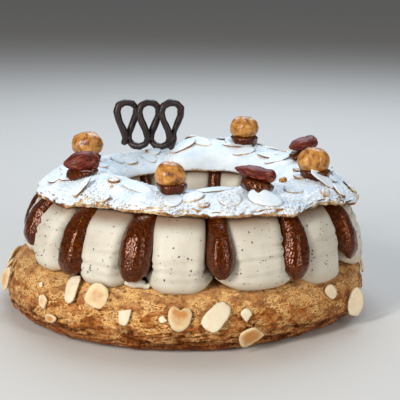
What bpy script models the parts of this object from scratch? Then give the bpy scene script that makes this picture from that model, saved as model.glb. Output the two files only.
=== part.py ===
"""A paris-brest for a table of eight: a split choux ring filled with piped cream and praline.

The ring rests on its flat underside. Vanilla cream and praline are piped on it by turns, a thin
arched lid of choux lies on top, and hazelnuts, almonds and a piped chocolate ornament sit on
the lid. Sizes are in millimetres until finish() turns each piece to metres.

Azimuths are in degrees, 0 at the front (-Y) and growing towards +X.
"""

from math import atan2, cos, degrees, hypot, pi, radians, sin, sqrt

import bmesh
import bpy
import numpy as np
from mathutils import Matrix, Vector, noise

MM = 0.001  # metres in a millimetre
GAP = 0.3  # left between pieces that touch
BED_GAP = 0.8  # left under the filling, where two curved faces meet
EDGE_GAP = 1.4  # left beside it, where the base falls away
LID_GAP = 2.0  # left over it, under the arched lid
SIDE_GAP = 1.0  # left between the cream and the praline, whose sides twist
HAIR = 1e-6  # a share too small to see, which tells one side of an edge from the other
RING_STEPS = 48  # facets round the base and the lid

# The choux base, a ring with a flat underside.
BASE_RADIUS = 98.0
BASE_HOLE = 37.0
BASE_HEIGHT = 31.5
BASE_BELLY = 11.5  # height of its widest line
BASE_SHOULDER = 85.0  # the top is flat from here in to the hole's shoulder
BASE_SIDE = 3.0  # how much further out the shoulder lies, and higher the belly, on its +X side
BASE_SIDE_RIM = 0.7  # the same of the widest line's radius
BASE_HOLE_SHOULDER = 47.0
BASE_FOOT = (45.0, 88.5)  # inner and outer radius of the flat underside
BASE_SWELL = 1.0  # how uneven the crust's outline is
SWELL_TOP = 19.0  # the crust is even above this height, where the cream lies
SWELL_AROUND = 2.2  # how quickly the outline changes round the ring
SWELL_UP = 0.06  # and with height

# The filling, piped in portions round a centre a little to the right of the base's.
CREAM_CENTRE_X = 5.2
PORTIONS = 14
OUTER_RADIUS = 94.3
OUTER_LEAN = 13.0  # how far its top lies in from its belly
INNER_RADIUS = 42.5
INNER_LEAN = 4.0
FOOT_TUCK = 3.2  # how far its foot is tucked under
FIRST_DROP = 9.4  # azimuth of one praline drop
COLUMNS = (0.45, 0.86)  # where a portion is sliced between the hole and its outer face
CREASE = 4.0  # how far a portion's sides fall back from its belly
LEDGE = 0.09  # level at which the cream parts, as a share of the filling's height
DROP_KNOTS = (0.11, 0.2, 0.33, 0.52, 0.76, 1.0)  # levels, of which the first is the cream's ledge
DROP_HALF_ANGLES = (1.6, 3.9, 4.9, 5.1, 4.5, 3.6)
DROP_FOOT = 0.155  # lowest level of a drop
UNEVEN_SPACING = 0.6  # degrees
UNEVEN_DROPS = 0.1  # share by which the widest and the narrowest drops differ from the mean
UNEVEN_CYCLES = 3.5 / 12  # how often a drop is a wide one

# The lid, a thin arch in section, with a ragged rim and a crack at the back.
LID_CENTRE_X = 8.0
LID_CREST_RADIUS = 62.0
LID_INNER_RADIUS = 42.0
LID_INNER_HEIGHT = 63.5
LID_SHELL = 0.18  # wall at the rim, as a share of the arch's half width
LID_WALL = 4.5  # wall at the crest
UNDER_STEPS = 4  # facets across its lower face
CREST_AZIMUTHS = (0, 22.5, 60, 97.5, 135, 157.5, 172.5, 187.5, 195, 225, 255, 285, 315, 345, 360)
CREST_HEIGHTS = (75, 76, 74, 76, 76, 79.5, 80.5, 80, 73.5, 73, 75, 77, 79, 75, 75)
RIM_AZIMUTHS = (0, 22.5, 37.5, 45, 52.5, 60, 75, 97.5, 135, 187.5, 195, 225, 285, 307.5, 322.5, 345, 360)
RIM_RADII = (82.5, 83, 88, 82, 82.5, 88, 89.5, 89, 87, 88, 86, 87, 88, 86, 83, 82, 82.5)
RIM_HEIGHTS = (66, 65, 63.5, 66, 66.5, 64.5, 63, 64, 66, 67, 64, 64, 66, 66, 66.5, 66.5, 66)

# What sits on the lid: azimuth, radius from the lid's centre, and the nut's middle height.
HAZELNUT_RADIUS = 7.75
HAZELNUT_FLATNESS = 0.84
HAZELNUTS = ((-12.4, 63.5, 83.0), (70.2, 64.8, 82.0), (153.9, 64.6, 87.3), (-97.3, 62.5, 84.6))
ALMOND_SIZE = (10.5, 5.9, 4.0)  # half its length, width and thickness
ALMOND_POINT = 0.28  # share by which it narrows to one end and widens to the other
# The almonds also have the turn about +Z of their long axis and how far that axis drops.
ALMONDS = ((25.8, 68.0, 84.0, -6, 12), (111.0, 62.0, 84.0, 35, -8), (-61.6, 68.5, 84.0, 12, -4))
DOLLOP_RADIUS = 8.2

# The chocolate ornament: one strand in upright loops, swaying so that it never runs into itself.
CHOCOLATE_START = (-36.2, 60.0, 90.0)
CHOCOLATE_PITCH = 14.4
CHOCOLATE_HALF_HEIGHT = 14.3
CHOCOLATE_LOOP = 4.5
CHOCOLATE_SWAY = 2.4
CHOCOLATE_STRAND = 1.5
CHOCOLATE_TURNS = (-150, 858)
CHOCOLATE_STEP = 24
CHOCOLATE_FOOT = (-7.5, 56.0, 75.6)

# Colour (linear), roughness of each finish.
CRUST = ("baked_choux", (0.47, 0.24, 0.09), 0.75)
DUSTED = ("sugar_dusted_choux", (0.86, 0.88, 0.92), 0.9)
CREAM = ("vanilla_cream", (0.72, 0.64, 0.49), 0.5)
PRALINE = ("praline_paste", (0.12, 0.035, 0.012), 0.3)
HAZELNUT = ("roasted_hazelnut", (0.55, 0.25, 0.06), 0.4)
ALMOND = ("almond_skin", (0.14, 0.035, 0.018), 0.6)
CHOCOLATE = ("dark_chocolate", (0.016, 0.009, 0.008), 0.4)


def clear_scene():
    for old in list(bpy.data.objects):
        bpy.data.objects.remove(old, do_unlink=True)


def material(finish):
    """The finish's Principled material, made the first time it is asked for."""
    name, colour, roughness = finish
    if name in bpy.data.materials:
        return bpy.data.materials[name]
    made = bpy.data.materials.new(name)
    made.use_nodes = True
    shader = made.node_tree.nodes["Principled BSDF"]
    shader.inputs["Base Color"].default_value = (*colour, 1)
    shader.inputs["Roughness"].default_value = roughness
    shader.inputs["Metallic"].default_value = 0
    return made


def finish(name, bm, look):
    """Turn a bmesh in millimetres into a smooth-shaded object in metres."""
    bmesh.ops.scale(bm, vec=(MM, MM, MM), verts=bm.verts)
    bmesh.ops.recalc_face_normals(bm, faces=bm.faces)
    mesh = bpy.data.meshes.new(name)
    bm.to_mesh(mesh)
    bm.free()
    mesh.shade_smooth()
    mesh.set_sharp_from_angle(angle=radians(50))
    mesh.materials.append(material(look))
    piece = bpy.data.objects.new(name, mesh)
    bpy.context.scene.collection.objects.link(piece)
    return piece


def arc(centre, radii, start, end, steps):
    """Points (radius, height) along an elliptical arc, with the angles in degrees."""
    angles = [radians(start + (end - start) * step / steps) for step in range(steps + 1)]
    return [(centre[0] + radii[0] * cos(a), centre[1] + radii[1] * sin(a)) for a in angles]


def turn(outline, steps, closed):
    """Spin an outline of (radius, height) points about Z. A closed one makes a ring."""
    bm = bmesh.new()
    verts = [bm.verts.new((radius, 0, height)) for radius, height in outline]
    edges = [bm.edges.new(pair) for pair in zip(verts, verts[1:])]
    if closed:
        edges.append(bm.edges.new((verts[-1], verts[0])))
    bmesh.ops.spin(
        bm, geom=verts + edges, cent=(0, 0, 0), axis=(0, 0, 1), angle=2 * pi, steps=steps, use_merge=True
    )
    bmesh.ops.remove_doubles(bm, verts=bm.verts, dist=0.001)
    return bm


def block(cuts_x, cuts_y, cuts_z):
    """A unit cube from (0, 0, 0) to (1, 1, 1), sliced across at the given places."""
    bm = bmesh.new()
    bmesh.ops.create_cube(bm, size=1, matrix=Matrix.Translation((0.5, 0.5, 0.5)))
    for axis, cuts in enumerate((cuts_x, cuts_y, cuts_z)):
        normal = Vector((0, 0, 0))
        normal[axis] = 1
        for cut in cuts:
            geom = bm.verts[:] + bm.edges[:] + bm.faces[:]
            bmesh.ops.bisect_plane(bm, geom=geom, plane_co=normal * cut, plane_no=normal)
    return bm


def around(centre_x, azimuth, radius):
    """The point (x, y) at an azimuth and radius from a centre on the X axis."""
    return centre_x + radius * sin(radians(azimuth)), -radius * cos(radians(azimuth))


def polar(centre_x, x, y):
    """The azimuth, from 0 to 360, and the radius of a point about a centre on the X axis."""
    return degrees(atan2(x - centre_x, -y)) % 360, hypot(x - centre_x, y)


def mix(low, high, share):
    return low + (high - low) * share


def swell(azimuth, height):
    """How far the crust stands out or falls back from a true round, in millimetres."""
    if not 0 < height < SWELL_TOP:
        return 0
    across, along = around(0, azimuth, SWELL_AROUND)
    slow = noise.noise(Vector((across, -along, SWELL_UP * height)))
    return 2 * BASE_SWELL * slow * sin(pi * height / SWELL_TOP)


def base_section(azimuth):
    """The base's rim radius, shoulder radius and belly height, as it rose higher on its +X side."""
    side = sin(radians(azimuth))
    return BASE_RADIUS + BASE_SIDE_RIM * side, BASE_SHOULDER + BASE_SIDE * side, BASE_BELLY + BASE_SIDE * side


def base_top(x, y):
    """The height that the cream lies at: the base's flat top, then its fall to the rim."""
    azimuth, radius = polar(0, x, y)
    rim, shoulder, belly = base_section(azimuth)
    over = (radius - shoulder) / (rim - shoulder)
    return belly + (BASE_HEIGHT - belly) * sqrt(1 - max(0, min(over, 1)) ** 2)


def base_point(azimuth, radius, height):
    """Where a point of the mean section lies at an azimuth."""
    rim, shoulder, belly = base_section(azimuth)
    if radius > BASE_FOOT[1] and height <= BASE_BELLY:
        share = (radius - BASE_FOOT[1]) / (BASE_RADIUS - BASE_FOOT[1])
        radius = mix(BASE_FOOT[1], rim, share)
        height *= belly / BASE_BELLY
    elif radius >= BASE_SHOULDER and height > BASE_BELLY:
        share = (radius - BASE_SHOULDER) / (BASE_RADIUS - BASE_SHOULDER)
        radius = mix(shoulder, rim, share)
        height = mix(belly, BASE_HEIGHT, (height - BASE_BELLY) / (BASE_HEIGHT - BASE_BELLY))
    x, y = around(0, azimuth, radius + swell(azimuth, height))
    return Vector((x, y, height))


def make_base():
    top = BASE_HEIGHT - BASE_BELLY
    out_low = arc((BASE_FOOT[1], BASE_BELLY), (BASE_RADIUS - BASE_FOOT[1], BASE_BELLY), -90, 0, 3)
    out_high = arc((BASE_SHOULDER, BASE_BELLY), (BASE_RADIUS - BASE_SHOULDER, top), 0, 90, 5)
    in_high = arc((BASE_HOLE_SHOULDER, BASE_BELLY), (BASE_HOLE_SHOULDER - BASE_HOLE, top), 90, 180, 3)
    in_low = arc((BASE_FOOT[0], BASE_BELLY), (BASE_FOOT[0] - BASE_HOLE, BASE_BELLY), 180, 270, 2)
    outline = out_low + out_high[1:] + in_high + in_low[1:]
    bm = turn(outline, RING_STEPS, closed=True)
    for vert in bm.verts:
        vert.co = base_point(*polar(0, vert.co.x, vert.co.y), vert.co.z)
    finish("choux_base", bm, CRUST)


def lid_section(azimuth):
    """The lid's rim radius, rim height and crest height at an azimuth from 0 to 360."""
    rim_radius = float(np.interp(azimuth, RIM_AZIMUTHS, RIM_RADII))
    rim_height = float(np.interp(azimuth, RIM_AZIMUTHS, RIM_HEIGHTS))
    crest = float(np.interp(azimuth, CREST_AZIMUTHS, CREST_HEIGHTS))
    return rim_radius, rim_height, crest


def lid_point(azimuth, across, up):
    """The point of the lid at across (-1 inner edge, 1 rim) and up (0 edges, 1 crest)."""
    rim_radius, rim_height, crest = lid_section(azimuth)
    reach = rim_radius - LID_CREST_RADIUS if across > 0 else LID_CREST_RADIUS - LID_INNER_RADIUS
    edge = mix(LID_INNER_HEIGHT, rim_height, (across + 1) / 2)
    x, y = around(LID_CENTRE_X, azimuth, LID_CREST_RADIUS + across * reach)
    return Vector((x, y, edge + up * (crest - edge)))


def lid_place(x, y):
    """Where (x, y) lies on the lid: its share across, the edges' height there and the crest's."""
    azimuth, radius = polar(LID_CENTRE_X, x, y)
    rim_radius, rim_height, crest = lid_section(azimuth)
    out = radius > LID_CREST_RADIUS
    reach = rim_radius - LID_CREST_RADIUS if out else LID_CREST_RADIUS - LID_INNER_RADIUS
    across = max(-1, min(1, (radius - LID_CREST_RADIUS) / reach))
    return across, mix(LID_INNER_HEIGHT, rim_height, (across + 1) / 2), crest


def lid_top(x, y):
    """The height of the arch's upper face, which is half an ellipse."""
    across, edge, crest = lid_place(x, y)
    return edge + sqrt(1 - across**2) * (crest - edge)


def lid_under(x, y):
    """The height of the arch's lower face, with its flat facets, as the cream lies against them."""
    across, edge, crest = lid_place(x, y)
    knots = arc((0, 0), (1 - LID_SHELL, 1), 180, 0, UNDER_STEPS)
    arch = np.interp(across, [knot[0] for knot in knots], [knot[1] for knot in knots])
    return edge + float(arch) * (crest - LID_WALL - edge)


def make_lid():
    """Spin a flat half-ring section, then stretch each slice to the lid's own rim and crest."""
    far = 10  # the section's middle, which only keeps it off the axis
    over = arc((far, 0), (1, 1), 0, 180, 6)
    under = arc((far, 0), (1 - LID_SHELL, 1 - LID_SHELL), 180, 0, UNDER_STEPS)
    bm = turn(over + under, RING_STEPS, closed=True)
    for vert in bm.verts:
        azimuth, radius = polar(0, vert.co.x, vert.co.y)
        across = radius - far
        up = vert.co.z
        inner_wall = hypot(across, up) < 1 - LID_SHELL / 2
        point = lid_point(azimuth, across, up)
        if inner_wall:
            point.z = lid_under(point.x, point.y)
        vert.co = point
    finish("choux_lid", bm, DUSTED)


def drop_azimuth(index):
    wander = UNEVEN_SPACING * sin(4 * pi * index / PORTIONS)
    return FIRST_DROP + 360 / PORTIONS * index + wander


def drop_half_angle(index, level):
    """Half the angle that a drop takes at a level: it is narrow on top and round below."""
    if level < DROP_KNOTS[0]:
        return 0
    share = float(np.interp(level, DROP_KNOTS, DROP_HALF_ANGLES))
    return share * (1 - UNEVEN_DROPS * cos(2 * pi * UNEVEN_CYCLES * (index % PORTIONS)))


def filling_point(azimuth, across, level, fallback):
    """The point of the filling at an azimuth, across (0 inside, 1 outside) and level (0 to 1).

    fallback is how far the portion's side falls back from its belly here.
    """
    tuck = FOOT_TUCK * (1 - level) ** 9
    outer = OUTER_RADIUS - OUTER_LEAN * level**3 - tuck - fallback
    inner = INNER_RADIUS + INNER_LEAN * level**4 + tuck + fallback / 2
    radius = mix(inner, outer, across)
    x, y = around(CREAM_CENTRE_X, azimuth, radius)
    low = base_top(*around(CREAM_CENTRE_X, azimuth, radius - EDGE_GAP)) + BED_GAP
    high = lid_under(x, y) - LID_GAP
    return Vector((x, y, mix(low, high, level)))


def fall_back(share):
    """The depth of the crease at a share (0 to 1) of the way across a portion."""
    return CREASE * (1 - (1 - abs(2 * share - 1) ** 3) ** (1 / 3))


def gap_angle(across):
    """The angle that half a gap takes, which grows towards the hole."""
    return degrees(SIDE_GAP / 2 / mix(INNER_RADIUS, OUTER_RADIUS, across))


def make_lobe(index):
    """One portion of cream between the drops index and index + 1."""
    bm = block((0.14, 0.5, 0.86), COLUMNS, (LEDGE,) + DROP_KNOTS[:-1])
    for vert in bm.verts:
        share, across, level = vert.co
        left = drop_azimuth(index) + drop_half_angle(index, level + HAIR) + gap_angle(across)
        right = drop_azimuth(index + 1) - drop_half_angle(index + 1, level + HAIR) - gap_angle(across)
        vert.co = filling_point(mix(left, right, share), across, level, fall_back(share))
    finish(f"cream_lobe_{index % PORTIONS + 1:02d}", bm, CREAM)


def make_drop(index):
    """One drop of praline, which narrows to the top and hangs in the cream's fork."""
    cuts = [(level - DROP_FOOT) / (1 - DROP_FOOT) for level in DROP_KNOTS[1:-1]]
    bm = block((0.25, 0.75), COLUMNS, cuts)
    for vert in bm.verts:
        share, across, height = vert.co
        level = mix(DROP_FOOT, 1, height)
        spread = drop_half_angle(index, level) - gap_angle(across)
        azimuth = drop_azimuth(index) + spread * (2 * share - 1)
        vert.co = filling_point(azimuth, across, level, fall_back(share))
    finish(f"praline_drop_{index % PORTIONS + 1:02d}", bm, PRALINE)


def make_dollop(name, azimuth, radius, seat):
    """A spot of praline on the lid. seat(dx, dy) is the height of the face that holds the nut."""
    centre = around(LID_CENTRE_X, azimuth, radius)
    wide = DOLLOP_RADIUS
    outline = [(0, 2), (0.5 * wide, 2), (0.84 * wide, 2), (wide, 1), (0.9 * wide, 0), (0, 0)]
    bm = turn(outline, 8, closed=False)
    for vert in bm.verts:
        x = centre[0] + vert.co.x
        y = centre[1] + vert.co.y
        low = lid_top(x, y) + 1.5 * GAP
        high = max(seat(vert.co.x, vert.co.y), low + GAP)
        vert.co = Vector((x, y, mix(low, high, vert.co.z / 2)))
    finish(name, bm, PRALINE)


def make_hazelnut(index, azimuth, radius, height):
    """A shelled nut, a little flat, in a cup of praline."""
    x, y = around(LID_CENTRE_X, azimuth, radius)
    profile = arc((0, 0), (HAZELNUT_RADIUS, HAZELNUT_RADIUS), -90, 90, 7)
    bm = turn([(max(0, across), up) for across, up in profile], 10, closed=False)
    for vert in bm.verts:
        vert.co.z *= HAZELNUT_FLATNESS
        vert.co += Vector((x, y, height))
    finish(f"hazelnut_{index + 1}", bm, HAZELNUT)
    cup = HAZELNUT_RADIUS + 2 * GAP

    def seat(dx, dy):
        return height - HAZELNUT_FLATNESS * sqrt(max(0, cup**2 - dx**2 - dy**2)) - GAP

    make_dollop(f"praline_dollop_hazelnut_{index + 1}", azimuth, radius, seat)


def make_almond(index, azimuth, radius, height, bearing, dip):
    """A whole almond: flat, pointed at one end, and lying across its spot of praline."""
    x, y = around(LID_CENTRE_X, azimuth, radius)
    bm = bmesh.new()
    lengthwise = Matrix.Rotation(pi / 2, 4, "Y")
    bmesh.ops.create_uvsphere(bm, u_segments=10, v_segments=6, radius=1, matrix=lengthwise)
    for vert in bm.verts:
        vert.co.y *= 1 - ALMOND_POINT * vert.co.x
    bmesh.ops.scale(bm, vec=ALMOND_SIZE, verts=bm.verts)
    lay = Matrix.Rotation(radians(bearing), 4, "Z") @ Matrix.Rotation(radians(dip), 4, "Y")
    bmesh.ops.transform(bm, matrix=Matrix.Translation((x, y, height)) @ lay, verts=bm.verts)
    finish(f"almond_{index + 1}", bm, ALMOND)

    def seat(dx, dy):
        along = dx * cos(radians(bearing)) + dy * sin(radians(bearing))
        return height - ALMOND_SIZE[2] / cos(radians(dip)) - GAP - along * sin(radians(dip))

    make_dollop(f"praline_dollop_almond_{index + 1}", azimuth, radius, seat)


def make_chocolate():
    """A piped strand that stands on the lid: figures of eight, one after another."""
    start, end = CHOCOLATE_TURNS
    x0, y0, z0 = CHOCOLATE_START
    path = []
    for angle in range(start, end + 1, CHOCOLATE_STEP):
        turned = radians(angle)
        x = x0 + CHOCOLATE_PITCH * angle / 360 + CHOCOLATE_LOOP * sin(2 * turned)
        y = y0 + CHOCOLATE_SWAY * sin(turned)
        path.append((x, y, z0 + CHOCOLATE_HALF_HEIGHT * cos(turned)))
    path.append(CHOCOLATE_FOOT)
    curve = bpy.data.curves.new("chocolate_ornament", "CURVE")
    curve.dimensions = "3D"
    curve.bevel_depth = CHOCOLATE_STRAND * MM
    curve.bevel_resolution = 1
    curve.use_fill_caps = True
    spline = curve.splines.new("POLY")
    spline.points.add(len(path) - 1)
    for point, place in zip(spline.points, path):
        point.co = (place[0] * MM, place[1] * MM, place[2] * MM, 1)
    curve.materials.append(material(CHOCOLATE))
    ornament = bpy.data.objects.new("chocolate_ornament", curve)
    bpy.context.scene.collection.objects.link(ornament)


clear_scene()
make_base()
make_lid()
for portion in range(PORTIONS):
    make_lobe(portion)
    make_drop(portion)
for number, place in enumerate(HAZELNUTS):
    make_hazelnut(number, *place)
for number, place in enumerate(ALMONDS):
    make_almond(number, *place)
make_chocolate()
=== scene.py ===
# %% [markdown]
# # A paris-brest, from the plain solids to the pastry
#
# A paris-brest is a ring of choux pastry, split like a bun, with cream piped between its halves.
# The frame holds a plain solid for every piece at its true size and place. This lesson turns each
# one into the real thing: crackled crust, soft cream, sticky praline, a sugared lid and its nuts.
#
# The work is done in bmesh, in millimetres, because a baker's sizes are easy to think of that way.

from math import atan2, cos, degrees, exp, hypot, pi, radians, sin
from random import Random

import bmesh
import bpy
from mathutils import Euler, Matrix, Vector, noise
from mathutils.bvhtree import BVHTree


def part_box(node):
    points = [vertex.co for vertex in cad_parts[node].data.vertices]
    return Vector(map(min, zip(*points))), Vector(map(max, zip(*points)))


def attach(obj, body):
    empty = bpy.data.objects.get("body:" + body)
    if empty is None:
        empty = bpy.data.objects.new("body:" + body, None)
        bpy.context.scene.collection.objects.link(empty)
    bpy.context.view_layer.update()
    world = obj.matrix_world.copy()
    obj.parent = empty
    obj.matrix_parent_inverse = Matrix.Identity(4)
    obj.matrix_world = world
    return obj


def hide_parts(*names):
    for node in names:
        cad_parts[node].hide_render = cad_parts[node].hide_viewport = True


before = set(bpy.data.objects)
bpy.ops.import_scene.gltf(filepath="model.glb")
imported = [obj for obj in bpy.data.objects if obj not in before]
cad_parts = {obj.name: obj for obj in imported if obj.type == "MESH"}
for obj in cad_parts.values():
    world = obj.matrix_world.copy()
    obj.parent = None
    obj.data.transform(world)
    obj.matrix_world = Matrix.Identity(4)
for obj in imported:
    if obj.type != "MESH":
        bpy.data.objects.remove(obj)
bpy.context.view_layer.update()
MM = 0.001  # metres in a millimetre

# %% [markdown]
# ## Shared tools for shapes
#
# The frame's solids come as loose triangles. A copy has to be merged before it can be shaped. A
# Subdivision Surface rounds a copy whose faces pair up into clean quads. A voxel remesh, then some
# smoothing, suits the soft pieces, whose corners should melt away. Both end in a fresh bmesh.


# %% Copy a solid
def copy_of(node):
    """A bmesh in millimetres of one of the frame's solids, merged, with its triangles paired."""
    bm = bmesh.new()
    bm.from_mesh(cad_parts[node].data)
    bmesh.ops.scale(bm, vec=(1 / MM, 1 / MM, 1 / MM), verts=bm.verts)
    bmesh.ops.remove_doubles(bm, verts=bm.verts, dist=0.01)
    bmesh.ops.join_triangles(bm, faces=bm.faces, angle_face_threshold=pi, angle_shape_threshold=pi)
    return bm


def as_object(name, bm):
    """An object in the scene with the mesh of a bmesh, which is used up."""
    mesh = bpy.data.meshes.new(name)
    bm.to_mesh(mesh)
    bm.free()
    holder = bpy.data.objects.new(name, mesh)
    bpy.context.scene.collection.objects.link(holder)
    return holder


def after_modifier(bm, kind, **settings):
    """What a modifier makes of a bmesh, as a new bmesh."""
    helper = as_object("helper", bm)
    modifier = helper.modifiers.new("Shaping", kind)
    for name, value in settings.items():
        setattr(modifier, name, value)
    result = bmesh.new()
    result.from_object(helper, bpy.context.evaluated_depsgraph_get())
    bpy.data.meshes.remove(helper.data)  # takes the object with it
    return result


def subdivided(bm, levels):
    return after_modifier(bm, "SUBSURF", levels=levels, render_levels=levels)


def smooth(bm, rounds):
    for _ in range(rounds):
        bmesh.ops.smooth_vert(
            bm, verts=bm.verts, factor=0.5, use_axis_x=True, use_axis_y=True, use_axis_z=True
        )


def softened(bm, voxel, rounds):
    """An even mesh of small quads over the shape, smoothed as often as rounds says."""
    bm = after_modifier(bm, "REMESH", mode="VOXEL", voxel_size=voxel)
    smooth(bm, rounds)
    return bm


# %% Give a surface its relief
def relief(bm, height, record=None):
    """Move every vertex along its normal by height(place, normal), in millimetres.

    With record, the height is kept in a vertex attribute of that name, for the material to read.
    """
    bm.normal_update()
    heights = [height(vert.co, vert.normal) for vert in bm.verts]
    layer = bm.verts.layers.float.new(record) if record else None
    for vert, rise in zip(bm.verts, heights):
        vert.co += vert.normal * rise
        if record:
            vert[layer] = rise


def cut_fine(bm, cuts, radius, centre_x=0, above=-1):
    """Cut the edges that lie beyond a radius, and above a height, into shorter ones."""

    def shows(vert):
        return polar(vert.co, centre_x)[1] > radius and vert.co.z > above

    edges = [edge for edge in bm.edges if all(shows(vert) for vert in edge.verts)]
    bmesh.ops.subdivide_edges(bm, edges=edges, cuts=cuts, use_grid_fill=True)


def ramp(value, start, end):
    """0 up to start, 1 from end on, and a smooth rise between."""
    share = max(0, min(1, (value - start) / (end - start)))
    return share * share * (3 - 2 * share)


def wave(place, size, seed=0):
    """Soft noise from -1 to 1, whose bumps are about size millimetres apart."""
    return noise.noise(Vector(place) / size + Vector((seed, 0, 0)))


FAR = 200  # millimetres from the axis, and up, where a ray that looks for a surface starts


def around(azimuth, radius, centre_x=0):
    """The point at an azimuth, from the front towards the right, and a radius from the axis."""
    return centre_x + radius * sin(radians(azimuth)), -radius * cos(radians(azimuth))


def polar(place, centre_x=0):
    """The azimuth and radius of a point."""
    return degrees(atan2(place[0] - centre_x, -place[1])), hypot(place[0] - centre_x, place[1])


def resting_surface(bm, rounds=12):
    """The shape without its fine relief, for things to lie on, so that no pit tips them over."""
    calm = bm.copy()
    smooth(calm, rounds)
    surface = BVHTree.FromBMesh(calm)
    calm.free()
    return surface


# %% Finish a piece
def finish(name, bm, look, nodes=()):
    """Turn a bmesh in millimetres into a smooth piece, which stands for the solids in nodes."""
    bmesh.ops.scale(bm, vec=(MM, MM, MM), verts=bm.verts)
    piece = as_object(name, bm)
    piece.data.shade_smooth()
    piece.data.materials.append(look)
    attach(piece, "root")
    if nodes:
        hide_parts(*nodes)
    size = [round(edge / MM, 1) for edge in piece.dimensions]
    print(f"{name}: {len(piece.data.polygons)} faces, {size} mm")


# %% [markdown]
# ## Shared tools for materials
#
# Colours are picked as sRGB hex values and turned to the linear light that a shader works in. One
# function adds a node with its settings and links. The others add the kinds that come most often,
# to the tree that their first socket is in.


# %% Colours and nodes
def linear(code):
    """The linear colour of a hex value such as C9955A."""
    channels = [int(code[start : start + 2], 16) / 255 for start in (0, 2, 4)]
    curve = [c / 12.92 if c <= 0.04045 else ((c + 0.055) / 1.055) ** 2.4 for c in channels]
    return (*curve, 1.0)


def new_material(name):
    """A material, its tree to add nodes to, and its Principled shader."""
    material = bpy.data.materials.new(name)
    material.use_nodes = True
    tree = material.node_tree
    return material, tree, tree.nodes["Principled BSDF"]


def feed(node, inputs):
    """Give each input its number, its colour or the socket that feeds it."""
    for name, value in inputs.items():
        if isinstance(value, bpy.types.NodeSocket):
            node.id_data.links.new(value, node.inputs[name])
        else:
            node.inputs[name].default_value = value


def add(tree, kind, inputs=None, **settings):
    """Add a node with its settings and its links."""
    node = tree.nodes.new("ShaderNode" + kind)
    for name, value in settings.items():
        setattr(node, name, value)
    feed(node, inputs or {})
    return node


def per_mm(size):
    """The scale of a pattern on Object coordinates whose cells are size millimetres wide."""
    return 1 / (size * MM)


# %% The kinds of node that come again and again
def own_place(tree):
    """Where a point lies on its piece, in metres."""
    return add(tree, "TexCoord").outputs["Object"]


def recorded(tree, name):
    """What was kept in a vertex attribute while the piece was modelled."""
    return add(tree, "Attribute", attribute_name=name).outputs["Fac"]


def cloudy(place, size, detail, roughness=0.5):
    """Noise from 0 to 1 whose cells are size millimetres wide."""
    inputs = {"Vector": place, "Scale": per_mm(size), "Detail": detail, "Roughness": roughness}
    return add(place.id_data, "TexNoise", inputs).outputs["Fac"]


def cells(place, size):
    """A Voronoi node, whose cells are size millimetres wide."""
    inputs = {"Vector": place, "Scale": per_mm(size)}
    return add(place.id_data, "TexVoronoi", inputs, feature="F1")


def worked(operation, first, *others):
    """One step of arithmetic, which starts from the socket first."""
    inputs = dict(enumerate((first, *others)))
    return add(first.id_data, "Math", inputs, operation=operation).outputs[0]


def fade(value, start, end, most=1, least=0):
    """From least, where the value is at start, to most, where it is at end."""
    inputs = {0: value, 1: start, 2: end, 3: least, 4: most}
    return add(value.id_data, "MapRange", inputs).outputs[0]


def shades(value, *stops):
    """The colour that belongs to a value, between stops of a position and a hex value."""
    node = add(value.id_data, "ValToRGB", {"Fac": value})
    elements = node.color_ramp.elements
    while len(elements) < len(stops):
        elements.new(1.0)
    for element, (position, code) in zip(elements, stops):
        element.position = position
        element.color = linear(code)
    return node.outputs[0]


def mixed(amount, under, over, blend="MIX"):
    """An amount of the colour over, a socket or a hex value, laid on the colour under."""
    over = linear(over) if isinstance(over, str) else over
    inputs = {0: amount, 6: under, 7: over}
    return add(amount.id_data, "Mix", inputs, data_type="RGBA", blend_type=blend).outputs[2]


def bumped(height, distance, strength):
    """The normal of a relief that is distance millimetres high."""
    inputs = {"Height": height, "Distance": distance * MM, "Strength": strength}
    return add(height.id_data, "Bump", inputs).outputs[0]


# %% [markdown]
# ## The choux base
#
# Choux puffs up in the oven while its skin dries, so the crust tears into a fine crackle, keeps
# small pits where steam got out, and wrinkles where the ring sat on the tray. A shader bump would
# leave the outline smooth, so the relief is real geometry. Only the faces that show are cut fine.


# %% Cut the base's outer side fine
BASE_SHOWS_FROM = 84.0  # radius beyond which the cream leaves the crust bare

base = subdivided(copy_of("choux_base"), 2)
cut_fine(base, 3, BASE_SHOWS_FROM, above=0.1)
print("the base now has", len(base.faces), "faces")


# %% Raise its lumps, skin, crackle and wrinkles
def crust_lumps(place, normal):
    free = ramp(place.z, 0.2, 4)
    azimuth, _ = polar(place)
    right = 2.4 * ramp(azimuth, 35, 75) * (1 - ramp(azimuth, 95, 150)) * (1 - ramp(place.z, 24, 32))
    return free * (right + 0.9 * wave(place, 34, 1) + 0.6 * wave(place, 13, 2) + 0.3 * wave(place, 5, 3))


def crust_skin(place, normal):
    """Islands of unbroken skin, about 0.5 mm high, wider than they are tall."""
    turned = Vector((place.x / 9, place.y / 9, place.z / 4))
    island = noise.noise(turned) + 0.5 * noise.noise(turned * 2.3) - 0.25 * (1 - ramp(place.z, 4, 14))
    return 0.5 * ramp(island, -0.06, 0.12) * ramp(place.z, 0.2, 2)


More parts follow.
